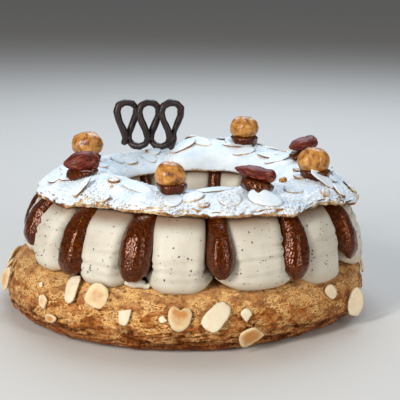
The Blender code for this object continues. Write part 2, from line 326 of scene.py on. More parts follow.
def crust_detail(place, normal):
    """The crackle, the pits and the wrinkles that run round the foot, all cut into the skin."""
    drift = Vector((wave(place, 7, 4), wave(place, 7, 5), wave(place, 7, 6)))
    near, next_near = noise.voronoi((place + 2 * drift) / 4.2)[0][:2]
    crackle = exp(-(next_near - near) / 0.09) * ramp(wave(place, 16, 7), -0.45, 0.35)
    pore, _ = noise.voronoi(place / 2.1 + Vector((9, 4, 2)))[0][:2]
    pit = (1 - ramp(pore, 0.08, 0.34)) * ramp(wave(place, 11, 8), -0.1, 0.4)
    knots = abs(wave(place, 2.4, 9)) + abs(wave(place, 1.5, 10))
    band = Vector((place.x / 24, place.y / 24, (place.z + 1.5 * drift.x) / 2.7))
    wrinkle = (1 - ramp(abs(noise.noise(band)), 0, 0.22)) * (1 - ramp(place.z, 9, 17))
    return -ramp(place.z, 0.2, 2) * (0.3 * crackle + 0.45 * pit + 0.5 * knots + 0.5 * wrinkle)


relief(base, crust_lumps)
relief(base, crust_skin, "skin")
# The height of this detail is kept as "recess", where the material paints shade into the pits and cracks.
relief(base, crust_detail, "recess")
crust_surface = resting_surface(base)

# %% Baked choux
# Choux crust is egg-glazed dough, dried and browned in the oven. Where the glazed skin stayed whole
# it is smooth, chestnut to pinkish tan, with a low sheen. Where the dough tore it is dull and pale
# gold, a fine net of dry threads round dark pores. The foot is browned most.
baked_choux, tree, shader = new_material("baked_choux_crust")
place = own_place(tree)
stretched = add(tree, "Mapping", {"Vector": place, "Scale": (1, 1, 1.8)}).outputs[0]
patches = cloudy(stretched, 7, 6, 0.7)
skin_tone = shades(patches, (0.38, "641F00"), (0.47, "A04C04"), (0.58, "CE9056"))
# Real threads are finer still. They are drawn at two millimetres so that the net can be seen.
threads = cloudy(stretched, 2.1, 5, 0.72)
thread = worked("ABSOLUTE", worked("SUBTRACT", threads, 0.5))
torn_tone = shades(thread, (0, "FFE2AA"), (0.04, "E2A65A"), (0.1, "A0520A"), (0.17, "3A1000"))
gold = fade(cloudy(stretched, 9, 3), 0.5, 0.72, 0.5)
golden = mixed(gold, torn_tone, "DC9438")
fray = worked("MULTIPLY_ADD", cloudy(place, 2.4, 6, 0.7), 1.3, -0.65)
skin_edge = worked("ADD", recorded(tree, "skin"), fray)
whole = fade(skin_edge, 0.12, 0.36, 0.8)
tone = mixed(whole, golden, skin_tone)
height = add(tree, "SeparateXYZ", {"Vector": place}).outputs["Z"]
foot = add(tree, "MapRange", {0: height, 1: 0.017, 2: 0.003}, interpolation_type="SMOOTHSTEP")
scorched = worked("MULTIPLY", foot.outputs[0], cloudy(place, 9, 4, 0.65))
browned = mixed(fade(scorched, 0.15, 0.55, 0.8), tone, "9A5020", "MULTIPLY")
# The upper crust is lightened towards FCD494 as painted light from above.
crown_painted_light = mixed(fade(height, 0.02, 0.031, 0.28), browned, "FCD494")
# The pits, cracks and wrinkles of the crust are darkened towards 4E2006 as painted shade.
depth = fade(recorded(tree, "recess"), -0.25, -0.85)
feed(shader, {
    "Base Color": mixed(depth, crown_painted_light, "4E2006"),
    "Normal": bumped(fade(thread, 0.15, 0), 0.3, 0.6),
    "Roughness": fade(whole, 0, 1, 0.33, 0.6),
    "Specular IOR Level": 0.18,
    "Specular Tint": linear("FFC080"),
})

finish("crust_base", base, baked_choux, ["choux_base"])

# %% [markdown]
# ## The cream
#
# The cream was piped in fourteen portions. Each is soft enough to sag over the crust and to fold
# on itself, and firm enough to stand. A remeshed and smoothed copy of each solid gives the body.
# Then every portion gets its own folds, and leans on its neighbours so that no gap is left.

# %% Shape the portions of cream
CREAM_CENTRE_X = 5.2  # the filling's axis lies this far to the right of the base's
CREAM_SPREAD = 0.7  # how far a portion presses out against its neighbours
CREAM_FACE = 80  # radius beyond which only a portion's outer face lies
PORTIONS = 14
# Each fold: height, how far it climbs from left to right, where it starts and ends across the face
# (-1 to 1), and its depth.
FRONT_FOLDS = {
    1: [(52, -1.5, 0.1, 1.1, 0.5), (45.5, 0.5, -1.1, 0.7, 0.65), (38, 1, -0.6, 1, 0.3)],
    2: [(50, 0, -1, 1, 0.35), (43, 1, -1, 0.5, 0.4)],
    13: [(47, 1, -0.2, 1.1, 0.6), (41, -1, -1, 1, 0.45), (36.5, 0, -0.8, 0.9, 0.35)],
    14: [(45, 2, -0.9, 0.4, 0.35), (40.5, -0.5, -1, 1.1, 0.6), (36, 1, -0.7, 1, 0.3)],
}
folding = Random(5)


def random_folds():
    folds = []
    for _ in range(3):
        level, climb = folding.uniform(37, 56), folding.uniform(-2, 2)
        folds.append((level, climb, -1.2, folding.uniform(0.2, 1.2), folding.uniform(0.3, 0.6)))
    return folds


def portion_frame(node):
    """The azimuth of a portion's middle and half the angle that it spans."""
    spots = [polar(vert.co / MM, CREAM_CENTRE_X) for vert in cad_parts[node].data.vertices]
    first = spots[0][0]
    turns = [(azimuth - first + 180) % 360 - 180 for azimuth, radius in spots if radius > CREAM_FACE]
    return first + (min(turns) + max(turns)) / 2, (max(turns) - min(turns)) / 2


# How far a portion stands out from its solid in millimetres, how far its left and right sides
# reach further in degrees, how far its foot hangs down, and how far its lower corners are pulled in.
LEANS = {
    1: (0, 1.6, 2.2, 0, 2),
    2: (0, 0, 3.2, 2.2, 5),
    3: (1.5, 0, 0, 0, 6),
    11: (-2.2, 0, 0, 0, 6),
    12: (0, 0, 0, 1, 6),
    13: (0, 0, 0, 1.6, 6),
    14: (0, 0, 0, 1.6, 5),
}
USUAL_LEAN = (0, 0, 0, 0, 6)


def round_off(bm, middle, half, out, to_left, to_right, hang, pull):
    """Pull in the corners of a portion, so that it stands like a small barrel.

    How deep a place lies between two portions, or how low at its foot, is kept in the attribute
    "crease", where the cream is given painted shade and some praline stain. How close it is to
    the lid is kept in "lid_shade_and_stain", where it is given painted shadow and some brown stain.
    """
    crease_layer = bm.verts.layers.float.new("crease")
    lid_shade_layer = bm.verts.layers.float.new("lid_shade_and_stain")
    for vert in bm.verts:
        azimuth, radius = polar(vert.co, CREAM_CENTRE_X)
        across = ((azimuth - middle + 180) % 360 - 180) / half
        corner = ramp(abs(across), 0.3, 1.1) * ramp(radius, 66, 80)
        low = 1 - ramp(vert.co.z, 34, 50)
        shoulder = ramp(vert.co.z, 57, 68) * ramp(radius, 70, 82)
        vert[crease_layer] = max(ramp(abs(across), 0.6, 1.05), 0.8 * (1 - ramp(vert.co.z, 31, 38)))
        vert[lid_shade_layer] = ramp(vert.co.z, 57.5, 63.5)
        azimuth += to_right * ramp(across, 0, 0.9) - to_left * ramp(-across, 0, 0.9)
        radius += ramp(radius, 66, 80) * out - pull * corner * low - 2.5 * shoulder * (0.4 + 0.6 * corner)
        azimuth -= 0.25 * pull * across * low * ramp(radius, 60, 78)
        vert.co.x, vert.co.y = around(azimuth, radius, CREAM_CENTRE_X)
        vert.co.z += 3 * corner * low - hang * (1 - ramp(vert.co.z, 30, 44)) * ramp(radius, 78, 90)


def cream_height(folds, middle, half):
    """The relief of one portion: soft swells and its folds."""

    def height(place, normal):
        azimuth, radius = polar(place, CREAM_CENTRE_X)
        across = ((azimuth - middle + 180) % 360 - 180) / half
        rise = CREAM_SPREAD + 0.45 * wave(place, 15, 11) + 0.12 * wave(place, 4, 12)
        outside = ramp(radius, 76, 82)
        for level, climb, start, end, depth in folds:
            window = ramp(across, start - 0.25, start + 0.15) * (1 - ramp(across, end - 0.15, end + 0.25))
            away = place.z - level - climb * across - 0.5 * wave(place, 6, 13)
            groove = exp(-((away / 0.75) ** 2))
            roll = exp(-(((away - 2.2) / 1.6) ** 2))
            rise += 1.5 * outside * window * depth * (0.55 * roll - groove)
        return rise

    return height


creams = {}
for number in range(1, PORTIONS + 1):
    node = f"cream_lobe_{number:02d}"
    cream = softened(copy_of(node), voxel=1.1, rounds=7)
    middle, half = portion_frame(node)
    round_off(cream, middle, half, *LEANS.get(number, USUAL_LEAN))
    relief(cream, cream_height(FRONT_FOLDS.get(number) or random_folds(), middle, half))
    creams[number] = cream

# %% Vanilla cream
# Cream beaten with butter and egg is pale ivory, soft-looking because light enters it a little,
# and satin rather than glossy. Ground vanilla leaves fine dark grains in it.
vanilla_cream, tree, shader = new_material("whipped_vanilla_cream")
place = own_place(tree)
cloud = cloudy(place, 14, 3)
ivory = shades(cloud, (0.35, "D2CAB8"), (0.65, "DED8C8"))
dots = cells(place, 2.6)
choice = add(tree, "SeparateColor", {"Color": dots.outputs["Color"]}).outputs[0]
small = fade(dots.outputs["Distance"], 0.13, 0.05)
few = worked("MULTIPLY", worked("GREATER_THAN", choice, 0.8), small)
flecked = mixed(few, ivory, "8F7E62")
# Between two portions and at the foot the cream is darkened towards B89A70: painted shade in the creases,
# with some praline stain beside the drops.
crease_shade_and_stain = worked("MULTIPLY", recorded(tree, "crease"), cloud)
shaded_and_stained = mixed(fade(crease_shade_and_stain, 0.12, 0.6, 0.65), flecked, "B89A70")
# Just under the lid the cream is darkened towards 7A5230: painted shadow of the rim, with some brown
# stain.
lid_shade_and_stain = worked("MULTIPLY", recorded(tree, "lid_shade_and_stain"), 0.8)
feed(shader, {
    "Base Color": mixed(lid_shade_and_stain, shaded_and_stained, "7A5230"),
    "Normal": bumped(cloudy(place, 1.1, 3), 0.12, 0.35),
    "Roughness": 0.5,
    "Subsurface Weight": 0.25,
    "Subsurface Radius": (2.4 * MM, 1.6 * MM, 1.0 * MM),
    "Subsurface Scale": 1.0,
})

cream_surfaces = [BVHTree.FromBMesh(cream) for cream in creams.values()]
for number, cream in creams.items():
    finish(f"cream_{number:02d}", cream, vanilla_cream, [f"cream_lobe_{number:02d}"])

# %% Squeeze a little cream out under the drops
SQUEEZED_OUT_TO = 89  # radius of their middles, at the cream's foot
# Azimuth and height; half its width, depth and height.
SQUEEZES = [((-17.4, 33.2), (6, 2.8, 2)), ((-13.4, 32.6), (2.4, 2, 1.3)), ((-42, 34.5), (3, 2, 1.5))]

squeezed = bmesh.new()
for (azimuth, height), size in SQUEEZES:
    spot = Vector((*around(azimuth, SQUEEZED_OUT_TO, CREAM_CENTRE_X), height))
    lay = Matrix.Translation(spot) @ Matrix.Rotation(radians(azimuth), 4, "Z")
    lay = lay @ Matrix.Diagonal((*size, 1))
    bmesh.ops.create_icosphere(squeezed, subdivisions=4, radius=1, matrix=lay)
relief(squeezed, lambda place, normal: 0.8 * wave(place, 2.8, 14) + 0.4 * wave(place, 1.4, 15))
finish("squeezed_cream", squeezed, vanilla_cream)

# %% [markdown]
# ## The praline
#
# Praline is hazelnuts and caramel ground to a paste, so it shines like syrup and yet shows the
# grain of the nuts. A drop of it runs down between every two portions of cream.


# %% Shape the drops
# The share of its solid's height that a drop runs down, how far it stands out in millimetres, how
# far all of it, its foot and its top are turned in degrees, how wide it is, and how much wider at
# its shoulder.
DROP_RUNS = {
    1: (0.89, 0, 0.3, 0, 0, 0.9, 0),
    2: (0.96, 0, 1.9, -2.4, 0, 0.91, 0),
    3: (0.88, 0.6, 2, 0, 0, 0.9, 0),
    4: (0.9, -4, 0, 0, 0, 1, 0),
    11: (1, -3, 0, 0, 0, 1, 0),
    12: (0.9, -1.8, 0, 0, 1, 1, 0.14),
    13: (1.07, 0.3, 2, 0, 2, 0.93, 0.27),
    14: (1, 0.6, -0.3, -0.5, 1.7, 0.95, 0.25),
}
USUAL_RUN = (1, 0, 0, 0, 0, 1, 0)


def run_down(bm, share, out, turn, sway, hook, width, shoulder):
    """Make a drop shorter or longer from its top, blunt at its foot, and round outwards."""
    top = max(vert.co.z for vert in bm.verts)
    foot = min(vert.co.z for vert in bm.verts)
    middle, _ = polar(sum((vert.co for vert in bm.verts), Vector()), CREAM_CENTRE_X * len(bm.verts))
    for vert in bm.verts:
        azimuth, radius = polar(vert.co, CREAM_CENTRE_X)
        across = (azimuth - middle + 180) % 360 - 180
        below = (top - vert.co.z) / (top - foot)
        wider = width * (0.9 + 0.2 * ramp(below, 0.2, 0.8))
        wider += shoulder * ramp(below, 0, 0.25) * (1 - ramp(below, 0.35, 0.7))
        turned = turn + sway * ramp(below, 0.2, 1) + hook * (1 - ramp(below, 0, 0.3))
        belly = 2.6 * ramp(below, 0, 0.3) * (1 - ramp(below, 0.8, 1.05)) * max(0, 1 - (across / 5.5) ** 2)
        radius += out + belly * ramp(radius, 74, 80)
        vert.co.x, vert.co.y = around(middle + turned + across * wider, radius, CREAM_CENTRE_X)
        vert.co.z = top - (top - vert.co.z) * share


def praline_height(place, normal):
    grain = 0.12 * wave(place, 1.9, 21) + 0.08 * wave(place, 1.1, 22)
    return 0.95 + 0.3 * wave(place, 7, 23) + grain


drops = {}
for number in range(1, PORTIONS + 1):
    drop = softened(copy_of(f"praline_drop_{number:02d}"), voxel=0.78, rounds=8)
    run_down(drop, *DROP_RUNS.get(number, USUAL_RUN))
    relief(drop, praline_height)
    drops[number] = drop

# %% Hazelnut praline
# The paste is dark caramel brown, redder where it is thin. Its oil gives it a wet gloss, which the
# grain of the nuts breaks up into small glints.
praline, tree, shader = new_material("hazelnut_praline_paste")
place = own_place(tree)
flow = cloudy(place, 1.6, 4, 0.7)
grain_bump = bumped(cells(place, 1.15).outputs["Distance"], -0.3, 0.6)
feed(shader, {
    "Base Color": shades(flow, (0.3, "240800"), (0.5, "461A00"), (0.68, "6C3200")),
    "Normal": grain_bump,
    "Coat Normal": grain_bump,
    "Roughness": 0.16,
    "Specular IOR Level": 0.4,
    "Specular Tint": linear("FF9A68"),
    "Coat Weight": 0.38,
    "Coat Roughness": 0.12,
    "IOR": 1.47,
})

for number, drop in drops.items():
    finish(f"praline_{number:02d}", drop, praline, [f"praline_drop_{number:02d}"])

# %% [markdown]
# ## The lid
#
# The lid is the ring's upper crust, split off thin. Its rim tore and crumbled, and it was baked
# with flaked almonds on it and buried in icing sugar afterwards. The sugar hides the brown except
# at the torn rim.

# %% Cut the lid fine and tear its rim
LID_CENTRE_X = 8.0  # the lid's axis lies this far to the right of the base's
LID_FINE_FROM = 56  # radius beyond which the lid is torn and crumbled, and so cut finer

lid = subdivided(copy_of("choux_lid"), 2)
cut_fine(lid, 2, LID_FINE_FROM, LID_CENTRE_X)

# Where the rim is bare of sugar: the middle and half the width in degrees, and how bare it is.
BARE_RIM = [(-19, 11, 1), (-40, 9, 0.9), (-2, 5, 0.7), (60, 12, 1)]
BARE_RIM += [(27, 5, 0.5), (150, 14, 0.9), (-120, 12, 0.9)]


def lid_lumps(place, normal):
    up = ramp(normal.z, -0.1, 0.5)
    powder = 0.22 * wave(place, 2.4, 33) + 0.12 * wave(place, 1.2, 34)
    _, radius = polar(place, LID_CENTRE_X)
    pitted = ramp(radius, 70, 79) * (abs(wave(place, 3.4, 38)) + abs(wave(place, 1.9, 39)))
    return 0.6 * wave(place, 16, 31) + 0.45 * wave(place, 6.5, 32) + up * (powder - 0.5 * pitted)


def torn_rim(place, normal):
    """The rim's teeth and bays, where the normal points away from the ring."""
    out = normal.x * (place.x - LID_CENTRE_X) + normal.y * place.y
    edge = ramp(out / polar(place, LID_CENTRE_X)[1], 0.55, 0.95)
    teeth = 1.0 * wave(place, 6.5, 35) + 0.9 * wave(place, 2.6, 36) + 0.5 * wave(place, 1.4, 37)
    return edge * (1.1 + 1.2 * teeth)


def sag(bm):
    """Let the rim hang down at both ends, over the cream."""
    for vert in bm.verts:
        azimuth, radius = polar(vert.co, LID_CENTRE_X)
        to_right = ramp(azimuth, 48, 75) * (1 - ramp(azimuth, 110, 140))
        to_left = (1 - ramp(azimuth, -52, -36)) * ramp(azimuth, -115, -85)
        vert.co.z -= ramp(radius, 70, 90) * (3.4 * to_right + 2.8 * to_left)


relief(lid, lid_lumps)
relief(lid, torn_rim)
sag(lid)
lid.normal_update()
# The flakes on the lid share its material, so they too record how bare they are as "toast".
bare_layer = lid.verts.layers.float.new("toast")
for vert in lid.verts:
    azimuth, radius = polar(vert.co, LID_CENTRE_X)
    nearness = [
        most * (1 - ramp(abs(azimuth - middle), 0.6 * half, half)) for middle, half, most in BARE_RIM
    ]
    upright = 1 - ramp(vert.normal.z + 0.4 * wave(vert.co, 1.6, 40), 0.25, 0.6)
    vert[bare_layer] = max(nearness) * upright * ramp(radius, 79, 80.5)
lid_surface = resting_surface(lid)

# %% Icing sugar over choux
# Icing sugar is sugar ground to dust. It scatters light back evenly, so it looks matt and a little
# bluish white. Where it lies thin, at the rim, the brown of the crust speckles it.
sugared_choux, tree, shader = new_material("icing_sugar_over_choux")
place = own_place(tree)
faces_up = add(tree, "SeparateXYZ", {"Vector": add(tree, "NewGeometry").outputs["Normal"]}).outputs["Z"]
dust = cloudy(place, 1.3, 6, 0.75)
uneven = worked("MULTIPLY_ADD", dust, 0.9, faces_up)
lid_axis = {"Location": (-LID_CENTRE_X * MM, 0, 0), "Scale": (1, 1, 0)}
from_axis = add(tree, "Mapping", {"Vector": place, **lid_axis}).outputs[0]
radius = add(tree, "VectorMath", {0: from_axis}, operation="LENGTH").outputs["Value"]
laid = worked("SUBTRACT", uneven, fade(radius, 0.072, 0.088, 0.38))
bare = recorded(tree, "toast")
cover = fade(worked("MULTIPLY_ADD", bare, -1.35, laid), 0.16, 0.5)
white = shades(cloudy(place, 9, 4), (0.35, "DEEEFA"), (0.65, "F6FCFF"))
rim_browning = cloudy(place, 12, 5, 0.7)
crumb = shades(rim_browning, (0.4, "5E3212"), (0.5, "AC7846"), (0.6, "E8D4AC"))
dusted = mixed(cover, crumb, white)
# Small pits in the sugar near the front rim, but not on the smooth flakes, are painted dark grey as
# shade.
pores = cloudy(place, 1.2, 3, 0.75)
painted_pit_shade = fade(add(tree, "SeparateXYZ", {"Vector": place}).outputs["Y"], -0.035, -0.055)
for limit in (
    fade(radius, 0.066, 0.082),
    fade(cloudy(place, 15, 2), 0.36, 0.54),
    fade(pores, 0.5, 0.41, 0.9),
    fade(bare, -0.08, -0.02),
):
    painted_pit_shade = worked("MULTIPLY", painted_pit_shade, limit)
feed(shader, {
    "Base Color": mixed(painted_pit_shade, dusted, "6C5C5C"),
    "Normal": bumped(worked("ADD", dust, pores), 0.4, 0.6),
    "Roughness": 0.9,
    "Specular IOR Level": 0.2,
})

finish("sugared_lid", lid, sugared_choux, ["choux_lid"])

# %% [markdown]
# ## Spots of praline, hazelnuts, almonds and the chocolate
#
# Each nut sits in its own spot of praline. A nut is easiest to model standing free at the origin,
# as a sphere of the right size. It is then laid where its solid lies.


# %% Measure how a solid lies
def size_of(node):
    """The middle of a solid's box and half its size, in millimetres."""
    low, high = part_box(node)
    return (low + high) / 2 / MM, (high - low) / 2 / MM


def lie_of(node):
    """The turn that takes +X to a solid's long axis, from its left end to its right one."""
    spots = [vert.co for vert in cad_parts[node].data.vertices]
    middle = size_of(node)[0] * MM
    far = max(spots, key=lambda spot: (spot - middle).length)
    along = (far - middle).normalized()
    if along.x < 0:
        along.negate()
    side = Vector((0, 0, 1)).cross(along).normalized()
    return Matrix((along, side, along.cross(side))).transposed().to_4x4()


# %% Shape the spots of praline
def dollop_height(place, normal):
    return praline_height(place, normal) - 0.6 + 0.5 * wave(place, 4, 41)


# Spots that are larger than their solids, and moved: size, then millimetres.
SPOTS = {
    "almond_1": ((1, 1, 1.1), (1, 0, 0.6)),
    "almond_2": ((1, 1, 1.1), (2.8, 0, 0.3)),
    "almond_3": ((1.08, 1.08, 1.7), (0.6, -2, -0.6)),
    "hazelnut_1": ((0.96, 1, 1.1), (1.4, -0.6, 0)),
    "hazelnut_2": ((1, 1, 1.5), (2.4, -0.5, 0)),
}

for nut, count in (("hazelnut", 4), ("almond", 3)):
    for number in range(1, count + 1):
        node = f"praline_dollop_{nut}_{number}"
        dollop = softened(copy_of(node), voxel=0.5, rounds=4)
        size, shift = SPOTS.get(f"{nut}_{number}", ((1, 1, 1), (0, 0, 0)))
        middle, _ = size_of(node)
        larger = Matrix.Translation(middle + Vector(shift)) @ Matrix.Diagonal((*size, 1))
        bmesh.ops.transform(dollop, matrix=larger @ Matrix.Translation(-middle), verts=dollop.verts)
        relief(dollop, dollop_height)
        finish(f"dollop_{nut}_{number}", dollop, praline, [node])

# %% Roasted hazelnut
# The nut was roasted until its papery skin rubbed off, and then rolled in caramel. That leaves it
# amber, mottled with scraps of darker skin, under a thin gloss.
roasted_hazelnut, tree, shader = new_material("caramelised_hazelnut")
place = own_place(tree)
mottle = cloudy(place, 3.2, 5, 0.65)
feed(shader, {
    "Base Color": shades(mottle, (0.35, "6E360A"), (0.49, "BC7A28"), (0.7, "E6AA56")),
    "Normal": bumped(cloudy(place, 1.4, 4, 0.7), 0.4, 0.5),
    "Roughness": 0.4,
    "Coat Weight": 0.4,
    "Coat Roughness": 0.2,
})


# %% Shape the hazelnuts
# How much wider and higher than its solid each nut is, and how far it is moved to the right and
# up, in millimetres.
NUT_SWELLS = {
    1: (1.02, 1.1, 0.6, -0.5),
    2: (1.13, 1.12, 1.5, 1.1),
    3: (1.13, 1.1, 0, 0.6),
    4: (1.16, 1.12, 1, 1.2),
}


def hazelnut_height(place, normal):
    facets = 0.65 * wave(place, 6, 51) + 0.42 * wave(place, 2.6, 52)
    return facets + 0.16 * wave(place, 1.2, 53)


for number, (wide, high, to_right, up) in NUT_SWELLS.items():
    middle, half = size_of(f"hazelnut_{number}")
    nut = bmesh.new()
    bmesh.ops.create_uvsphere(nut, u_segments=56, v_segments=36, radius=1)
    for vert in nut.verts:
        vert.co.z -= 0.1 * (1 - ramp(hypot(vert.co.x, vert.co.y), 0, 0.45)) * (vert.co.z > 0)
    swell = Matrix.Diagonal((half.x * wide, half.y * wide, half.z * high, 1))
    lay = Matrix.Translation(middle + Vector((to_right, 0, up))) @ swell
    bmesh.ops.transform(nut, matrix=lay, verts=nut.verts)
    relief(nut, hazelnut_height)
    finish(f"hazelnut_kernel_{number}", nut, roasted_hazelnut, [f"hazelnut_{number}"])

# %% Almond skin
# The skin is left on these almonds. It is papery and dark red-brown, and dries into fine wrinkles
# that run from tip to tip. Its ridges catch a dull light.
almond_skin, tree, shader = new_material("toasted_almond_skin")
# The wrinkles' ridges are painted lighter and their grooves darker: painted highlight and shade.
ridge_light_groove_shade = fade(recorded(tree, "wrinkle"), -0.25, 0.3)
dry = cloudy(own_place(tree), 0.8, 4)
feed(shader, {
    "Base Color": shades(ridge_light_groove_shade, (0.1, "340C04"), (0.55, "6E2614"), (0.95, "AE644A")),
    "Normal": bumped(dry, 0.2, 0.5),
    "Roughness": 0.45,
    "Specular IOR Level": 0.3,
})

# %% Shape the almonds
ALMOND = Vector((10.5, 5.9, 4.5))  # half its length, width and thickness
# How long and thick each is, as shares, how far it is rolled on its side in degrees, and how far it
# is moved from its solid in millimetres.
ALMOND_LIES = {
    1: (1, 0.74, 0, (0, 0, 0)),
    2: (0.92, 0.8, 0, (2.8, 0, 0.5)),
    3: (0.89, 1.04, 52, (0, 0, -0.6)),
}


def almond_wrinkles(place, normal):
    """Creases along X that drift a little round the kernel."""
    turn = atan2(place.z, place.y) + 0.25 * wave(place, 5, 61)
    round_it = Vector((place.x / 8, 2.6 * cos(turn), 2.6 * sin(turn)))
    return 0.32 * noise.noise(round_it * 2.2) + 0.22 * noise.noise(round_it * 4.6)


for number, (long, thick, roll, shift) in ALMOND_LIES.items():
    node = f"almond_{number}"
    kernel = bmesh.new()
    lengthwise = Matrix.Rotation(pi / 2, 4, "Y")
    bmesh.ops.create_uvsphere(kernel, u_segments=72, v_segments=40, radius=1, matrix=lengthwise)
    for vert in kernel.verts:
        point = 1 - 0.3 * ramp(-vert.co.x, 0.3, 1)
        blunt = ramp(vert.co.x, 0.4, 0.9)
        vert.co.y *= point * (1 + 0.2 * blunt) * (1 + 0.1 * vert.co.x)
        vert.co.z *= point * (1 + 0.5 * blunt) * (1 + 0.1 * vert.co.x)
    bmesh.ops.scale(kernel, vec=(ALMOND.x * long, ALMOND.y, ALMOND.z * thick), verts=kernel.verts)
    relief(kernel, almond_wrinkles, "wrinkle")
    lay = lie_of(node) @ Matrix.Rotation(radians(roll), 4, "X")
    lay = Matrix.Translation(size_of(node)[0] + Vector(shift)) @ lay
    bmesh.ops.transform(kernel, matrix=lay, verts=kernel.verts)
    finish(f"almond_kernel_{number}", kernel, almond_skin, [node])

# %% Dark chocolate, and the piped ornament
# Chocolate that was melted, piped on paper and set is nearly black, with a dull, waxy gloss.
dark_chocolate, tree, shader = new_material("piped_dark_chocolate")
bloom = cloudy(own_place(tree), 4, 4)
feed(shader, {"Base Color": shades(bloom, (0.35, "1E1110"), (0.65, "34211E")), "Roughness": 0.42})

ornament = softened(copy_of("chocolate_ornament"), voxel=0.5, rounds=6)
middle, half = size_of("chocolate_ornament")
foot = middle - Vector((0, 0, half.z))
slimmer = Matrix.Translation(foot + Vector((1, 0, 0))) @ Matrix.Diagonal((0.93, 1, 0.94, 1))
bmesh.ops.transform(ornament, matrix=slimmer @ Matrix.Translation(-foot), verts=ornament.verts)
relief(ornament, lambda place, normal: 0.9 + 0.5 * wave(place, 6, 71))
finish("piped_ornament", ornament, dark_chocolate, ["chocolate_ornament"])

# %% [markdown]
# ## Flaked almonds
#
# A flaked almond is a kernel sliced a millimetre thin. Its outline is the kernel's, its faces are
# flat, and drying curls it a little. A sphere pressed flat gives just that, and its rings of
# vertices let it bend. Each flake lies on the crust where a ray meets it.


# %% Model one flake
FLAKE_THICKNESS = 1.1


def add_flake(bm, lay, length, width, curl=0.4, toast=0.3, square=2.0, cut=None, taper=0.15, notch=0):
    """Add a flake, laid by a matrix. It is oval at square 2 and squarer above, and tapers along X.

    A cut, from -1 to 1 along it, breaks off what lies beyond. A notch goes into its +X end.
    """
    made = bmesh.ops.create_uvsphere(bm, u_segments=20, v_segments=8, radius=1)["verts"]
    rim_layer = bm.verts.layers.float["rim"]
    toast_layer = bm.verts.layers.float["toast"]
    for vert in made:
        x, y, z = vert.co
        out = hypot(x, y)
        vert[rim_layer] = out
        vert[toast_layer] = toast
        if out > 0.01:
            squared = (abs(x / out) ** square + abs(y / out) ** square) ** (-1 / square)
            outline = squared + 0.07 * wave((2.6 * x / out, 2.6 * y / out, length + width), 1, 81)
            x *= outline
            y *= outline
        vert[toast_layer] += notch * ramp(x, -0.2, 0.6)
        x -= notch * max(0, x - 0.1) * max(0, 1 - 1.2 * abs(y))
        flat = max(-1, min(1, 2.5 * z)) * FLAKE_THICKNESS / 2
        bent = flat - curl * x * x + 0.25 * wave((2 * x, 2 * y, width), 1, 82)
        vert.co = (x * length / 2, y * (1 - taper * x) * width / 2, bent)
    if cut is not None:
        geom = made + list({edge for vert in made for edge in vert.link_edges})
        geom += list({face for vert in made for face in vert.link_faces})
        plane = Vector((cut * length / 2, 0, 0))
        halves = bmesh.ops.bisect_plane(
            bm, geom=geom, plane_co=plane, plane_no=Vector((1, 0.35, 0)).normalized(), clear_outer=True
        )
        edges = [part for part in halves["geom_cut"] if isinstance(part, bmesh.types.BMEdge)]
        bmesh.ops.holes_fill(bm, edges=edges)
        parts = set(halves["geom"] + halves["geom_cut"])
        made = [part for part in parts if isinstance(part, bmesh.types.BMVert) and part.is_valid]
    bmesh.ops.transform(bm, matrix=lay, verts=made)


def flake_mesh():
    bm = bmesh.new()
    for record in ("rim", "toast"):
        bm.verts.layers.float.new(record)
    return bm


# %% Find a place on the pastry
def on_side(surface, azimuth, height):
    """The spot and normal at a height, seen level from outside."""
    start = Vector((*around(azimuth, FAR), height))
    return surface.ray_cast(start, Vector((0, 0, height)) - start)[:2]


def on_top(surface, azimuth, radius):
    """The spot and normal at a radius from the lid's axis, seen from above."""
    start = Vector((*around(azimuth, radius, LID_CENTRE_X), FAR))
    return surface.ray_cast(start, Vector((0, 0, -1)))[:2]


def seat(spot, normal, bearing, lift, tip=0, roll=0):
    """A matrix whose Z stands on the surface. X runs to the right, turned by bearing.

    The flake is then tipped about its width and rolled about its length.
    """
    azimuth, _ = polar(spot)
    right = Vector((cos(radians(azimuth)), sin(radians(azimuth)), 0))
    right = (right - normal * right.dot(normal)).normalized()
    upright = Matrix((right, normal.cross(right), normal)).transposed().to_4x4()
    turn = Matrix.Rotation(radians(bearing), 4, "Z") @ Matrix.Rotation(radians(tip), 4, "Y")
    turn = turn @ Matrix.Rotation(radians(roll), 4, "X")
    return Matrix.Translation(spot + normal * lift) @ upright @ turn


# %% Flaked almond
# The slice is ivory inside, and toasts to tan, most of all along its rim, where a thread of brown
# skin is left.
flaked_almond, tree, shader = new_material("sliced_almond")
rim = recorded(tree, "rim")
fibre = cloudy(own_place(tree), 3, 5, 0.6)
deep = worked("MULTIPLY", recorded(tree, "toast"), fade(rim, 0.95, 0.35, 1, 0.3))
patchy = worked("MULTIPLY_ADD", fibre, 0.5, deep)
toasted = shades(patchy, (0.22, "EFE3C8"), (0.5, "E8CD9C"), (0.85, "C98A4A"))
skin_left = worked("MULTIPLY", fade(rim, 0.9, 1), fade(fibre, 0.5, 0.6, 0.7))
feed(shader, {
    "Base Color": mixed(skin_left, toasted, "9C6A3C"),
    "Normal": bumped(fibre, 0.2, 0.4),
    "Roughness": 0.5,
    "Subsurface Weight": 0.15,
    "Subsurface Radius": (1.5 * MM, 1.0 * MM, 0.6 * MM),
})

